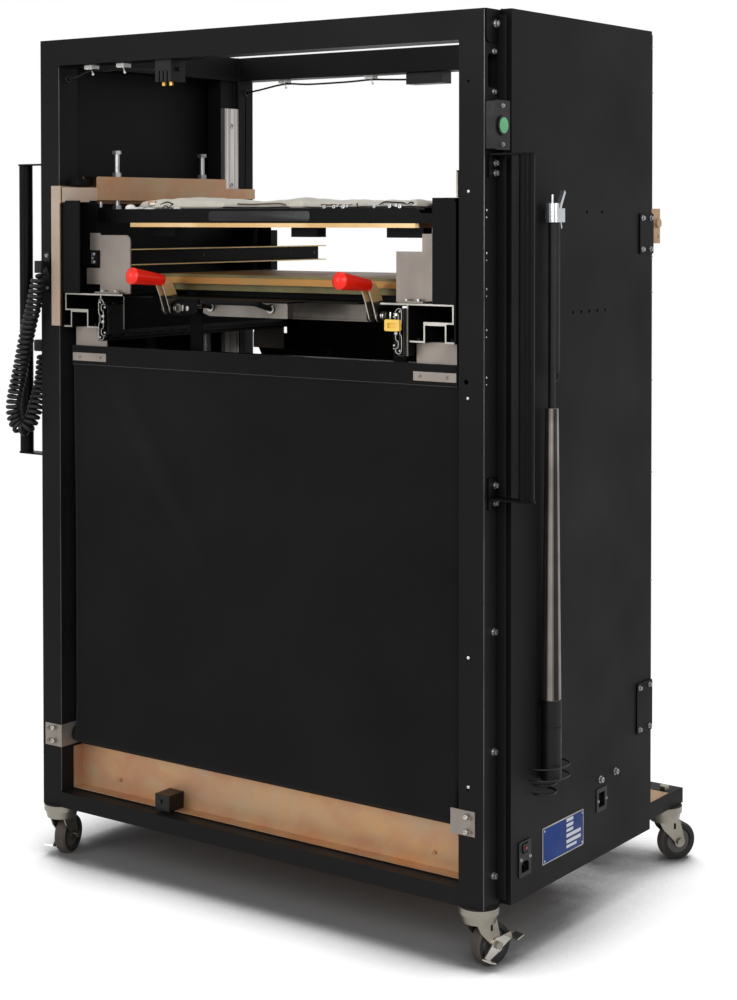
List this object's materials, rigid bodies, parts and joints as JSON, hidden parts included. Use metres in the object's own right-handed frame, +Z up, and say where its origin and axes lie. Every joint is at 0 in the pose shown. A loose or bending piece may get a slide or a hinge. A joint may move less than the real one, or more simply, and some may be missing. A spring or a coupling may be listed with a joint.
{
  "type": "dry mounting press",
  "caption": "Rolling lift press frame with a pull-out gold lower platen, toggle clamps, insulated upper platen, black curtains, side handles and locking castors",
  "frame": {"origin": "on the floor under the middle of the whole press's bounding box", "axes": "+Z up along the tallest extent, -Y towards the user's side with the curtain and grips, +X to the right as the user faces it"},
  "size_m": [1.209, 0.8198, 1.6347],
  "materials": {
    "black_frame": "satin",
    "black_parts": "satin",
    "yellow_zinc": "satin",
    "steel": "satin",
    "aluminium": "satin",
    "grey_plate": "satin",
    "chrome": "gloss",
    "screw_zinc": "satin",
    "black_plastic": "matte",
    "green_lens": "gloss",
    "red_plastic": "gloss",
    "yellow_plastic": "satin",
    "curtain_cloth": "matte",
    "blanket": "matte",
    "cord_rubber": "matte",
    "tyre_rubber": "matte",
    "platen_gold": "satin",
    "nickel": "satin"
  },
  "bodies": {
    "frame": {"front_frame": "black_frame", "rear_frame": "black_frame", "base_frame": "black_frame", "zinc_trays": "yellow_zinc", "lift_rails": "aluminium", "lift_actuators": "black_parts", "right_side_panel": "black_frame", "left_side_panel": "black_frame", "corner_plates": "black_parts", "frame_screws": "screw_zinc", "side_handles": "black_parts", "control_boxes": "black_plastic", "inlet_panel": "black_plastic", "wand_socket": "black_plastic", "roller_brackets": "grey_plate", "batteries": "black_plastic", "wiring_blocks": "black_plastic", "top_wires": "cord_rubber", "castor_stems": "steel", "coil_cord": "cord_rubber", "front_curtain": "curtain_cloth", "rear_curtain": "curtain_cloth"},
    "start_button": {"start_button": "green_lens"},
    "power_switch": {"power_switch": "red_plastic"},
    "front_roller": {"front_roller": "curtain_cloth"},
    "rear_roller": {"rear_roller": "curtain_cloth"},
    "wand": {"wand": "nickel"},
    "wand_lever": {"wand_lever": "chrome"},
    "carriage": {"carriage_sides": "yellow_zinc", "shelf_channels": "black_parts", "latch_rail": "black_parts", "uprights": "black_parts", "platen_hangers": "black_parts", "upper_platen": "yellow_zinc", "insulation_blanket": "blanket", "side_channels": "yellow_zinc", "side_brackets": "grey_plate", "levelling_bolts": "screw_zinc", "outer_slides": "steel", "lift_rods": "steel"},
    "drawer": {"drawer_body": "black_parts", "drawer_front": "grey_plate", "lower_platen": "platen_gold", "inner_slides": "steel"},
    "slide_middles": {"middle_slides": "steel"},
    "toggle_lever_r": {"toggle_lever_r": "red_plastic"},
    "toggle_lever_l": {"toggle_lever_l": "red_plastic"},
    "plunger_r": {"plunger_r": "steel"},
    "plunger_l": {"plunger_l": "steel"},
    "release_tab": {"release_tab": "yellow_plastic"},
    "castor_fork_fr": {"castor_fork_fr": "steel"},
    "castor_wheel_fr": {"castor_wheel_fr": "tyre_rubber"},
    "castor_fork_fl": {"castor_fork_fl": "steel"},
    "castor_wheel_fl": {"castor_wheel_fl": "tyre_rubber"},
    "castor_fork_rr": {"castor_fork_rr": "steel"},
    "castor_wheel_rr": {"castor_wheel_rr": "tyre_rubber"},
    "castor_fork_rl": {"castor_fork_rl": "steel"},
    "castor_wheel_rl": {"castor_wheel_rl": "tyre_rubber"},
    "brake_pedal_fr": {"brake_pedal_fr": "chrome"},
    "brake_pedal_fl": {"brake_pedal_fl": "chrome"}
  },
  "joints": [
    {"name": "carriage_lift", "type": "slide", "parent": "frame", "child": "carriage", "axis": [0, 0, 1], "range_m": [-0.38, 0.19], "deforming": ["front_curtain", "rear_curtain"]},
    {"name": "drawer_slide", "type": "slide", "parent": "carriage", "child": "drawer", "axis": [0, -1, 0], "range_m": [0, 0.45]},
    {"name": "slide_middle_travel", "type": "slide", "parent": "carriage", "child": "slide_middles", "axis": [0, -1, 0], "range_m": [0, 0.225]},
    {"name": "toggle_lever_r_hinge", "type": "hinge", "parent": "drawer", "child": "toggle_lever_r", "pos_m": [0.245, -0.28877, 1.106], "axis": [1, 0, 0], "range_deg": [0, 75]},
    {"name": "plunger_r_slide", "type": "slide", "parent": "drawer", "child": "plunger_r", "axis": [0, -1, 0], "range_m": [0, 0.02]},
    {"name": "toggle_lever_l_hinge", "type": "hinge", "parent": "drawer", "child": "toggle_lever_l", "pos_m": [-0.245, -0.28877, 1.106], "axis": [1, 0, 0], "range_deg": [0, 75]},
    {"name": "plunger_l_slide", "type": "slide", "parent": "drawer", "child": "plunger_l", "axis": [0, -1, 0], "range_m": [0, 0.02]},
    {"name": "release_tab_hinge", "type": "hinge", "parent": "drawer", "child": "release_tab", "pos_m": [0.343, -0.34077, 1.095], "axis": [1, 0, 0], "range_deg": [-3, 3]},
    {"name": "start_button_press", "type": "slide", "parent": "frame", "child": "start_button", "axis": [-1, 0, 0], "range_m": [0, 0.004], "stiffness_N_per_m": 400, "springref_m": -0.001},
    {"name": "power_switch_rock", "type": "hinge", "parent": "frame", "child": "power_switch", "pos_m": [0.5364, -0.26377, 0.1955], "axis": [0, 1, 0], "range_deg": [0, 12]},
    {"name": "front_roller_turn", "type": "hinge", "parent": "frame", "child": "front_roller", "pos_m": [0, -0.32477, 0.251], "axis": [1, 0, 0], "range_deg": [-703, 1397]},
    {"name": "rear_roller_turn", "type": "hinge", "parent": "frame", "child": "rear_roller", "pos_m": [0, 0.21123, 0.251], "axis": [1, 0, 0], "range_deg": [-1397, 703]},
    {"name": "wand_lift_out", "type": "slide", "parent": "frame", "child": "wand", "axis": [0, 0, 1], "range_m": [0, 0.13]},
    {"name": "wand_lever_hinge", "type": "hinge", "parent": "wand", "child": "wand_lever", "pos_m": [0.5584, -0.18377, 1.287], "axis": [1, 0, 0], "range_deg": [0, 20]},
    {"name": "castor_swivel_fr", "type": "hinge", "parent": "frame", "child": "castor_fork_fr", "pos_m": [0.4956, -0.33737, 0.088], "axis": [0, 0, 1], "continuous": true},
    {"name": "castor_roll_fr", "type": "hinge", "parent": "castor_fork_fr", "child": "castor_wheel_fr", "pos_m": [0.50233, -0.31225, 0.038], "axis": [0.9659, -0.2588, 0], "continuous": true},
    {"name": "brake_pedal_fr_hinge", "type": "hinge", "parent": "castor_fork_fr", "child": "brake_pedal_fr", "pos_m": [0.50233, -0.31225, 0.038], "axis": [0.9659, -0.2588, 0], "range_deg": [-14, 6]},
    {"name": "castor_swivel_fl", "type": "hinge", "parent": "frame", "child": "castor_fork_fl", "pos_m": [-0.4956, -0.33737, 0.088], "axis": [0, 0, 1], "continuous": true},
    {"name": "castor_roll_fl", "type": "hinge", "parent": "castor_fork_fl", "child": "castor_wheel_fl", "pos_m": [-0.50233, -0.31225, 0.038], "axis": [0.9659, 0.2588, 0], "continuous": true},
    {"name": "brake_pedal_fl_hinge", "type": "hinge", "parent": "castor_fork_fl", "child": "brake_pedal_fl", "pos_m": [-0.50233, -0.31225, 0.038], "axis": [0.9659, 0.2588, 0], "range_deg": [-14, 6]},
    {"name": "castor_swivel_rr", "type": "hinge", "parent": "frame", "child": "castor_fork_rr", "pos_m": [0.497, 0.34823, 0.088], "axis": [0, 0, 1], "continuous": true},
    {"name": "castor_roll_rr", "type": "hinge", "parent": "castor_fork_rr", "child": "castor_wheel_rr", "pos_m": [0.51116, 0.37004, 0.038], "axis": [0.8387, -0.5446, 0], "continuous": true},
    {"name": "castor_swivel_rl", "type": "hinge", "parent": "frame", "child": "castor_fork_rl", "pos_m": [-0.497, 0.34823, 0.088], "axis": [0, 0, 1], "continuous": true},
    {"name": "castor_roll_rl", "type": "hinge", "parent": "castor_fork_rl", "child": "castor_wheel_rl", "pos_m": [-0.51116, 0.37004, 0.038], "axis": [0.8387, 0.5446, 0], "continuous": true}
  ],
  "couplings": [
    {"joint": "slide_middle_travel", "follows": "drawer_slide", "ratio": 0.5},
    {"joint": "plunger_r_slide", "follows": "toggle_lever_r_hinge", "m_per_rad": 0.0152},
    {"joint": "plunger_l_slide", "follows": "toggle_lever_l_hinge", "m_per_rad": 0.0152},
    {"joint": "front_roller_turn", "follows": "carriage_lift", "rad_per_m": -63.694},
    {"joint": "rear_roller_turn", "follows": "carriage_lift", "rad_per_m": 63.694}
  ]
}
